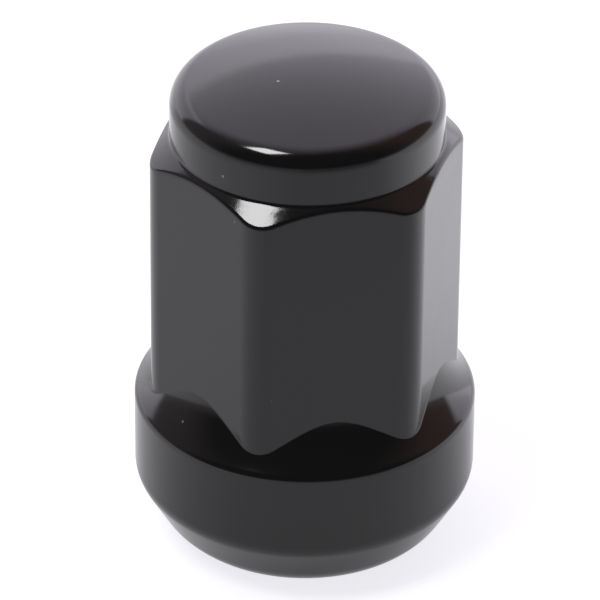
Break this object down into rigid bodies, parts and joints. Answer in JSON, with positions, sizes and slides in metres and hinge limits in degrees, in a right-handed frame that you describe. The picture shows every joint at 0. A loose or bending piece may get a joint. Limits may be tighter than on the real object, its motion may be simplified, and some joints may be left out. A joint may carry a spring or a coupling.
{
  "type": "acorn lug nut",
  "caption": "Closed-end bulge acorn lug nut with a hex drive, domed cap, conical seat and blind threaded stud hole, gloss black.",
  "frame": {"origin": "centre of the flat end face at the small end of the seat cone, where the stud enters", "axes": "+Z along the nut's axis from the stud hole's mouth to the dome, with two flats of the hex facing -Y and +Y and two corners on -X and +X"},
  "size_m": [0.0232, 0.0232, 0.0353],
  "materials": {
    "black_coat": "smooth gloss black coat on steel"
  },
  "bodies": {
    "root": {"lug_nut": "black_coat"}
  },
  "joints": []
}
